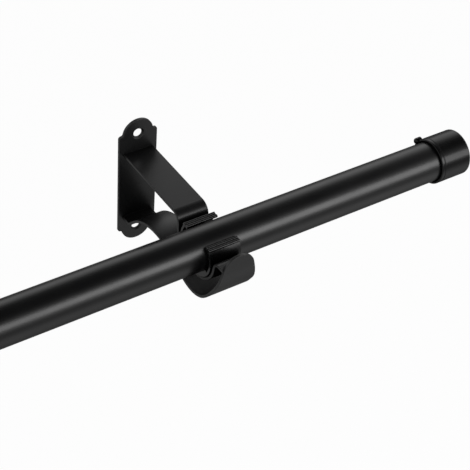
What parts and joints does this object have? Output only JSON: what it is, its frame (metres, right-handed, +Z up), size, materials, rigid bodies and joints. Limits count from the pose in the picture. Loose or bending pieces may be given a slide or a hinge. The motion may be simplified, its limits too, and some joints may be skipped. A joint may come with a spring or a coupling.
{
  "type": "curtain pole with wall brackets",
  "caption": "Round metal curtain pole with plain end caps, held in two wall brackets that have a deep front cup and a free rear seat.",
  "frame": {"origin": "on the wall, in the middle of the four screw holes", "axes": "+X along the pole to its right end seen from the room, +Y into the wall, +Z up"},
  "size_m": [1.2036, 0.1263, 0.1026],
  "materials": {
    "black_coat": "satin powder coat",
    "pole_coat": "satin lacquer",
    "black_plastic": "moulded satin"
  },
  "bodies": {
    "root": {"wall_plate_right": "black_coat", "wall_plate_left": "black_coat", "lower_arm_right": "black_coat", "lower_arm_left": "black_coat", "upper_arm_right": "black_coat", "upper_arm_left": "black_coat", "cradle_liner_right": "black_plastic", "cradle_liner_left": "black_plastic", "pole": "pole_coat", "end_cap_right": "pole_coat", "end_cap_left": "pole_coat"}
  },
  "joints": []
}
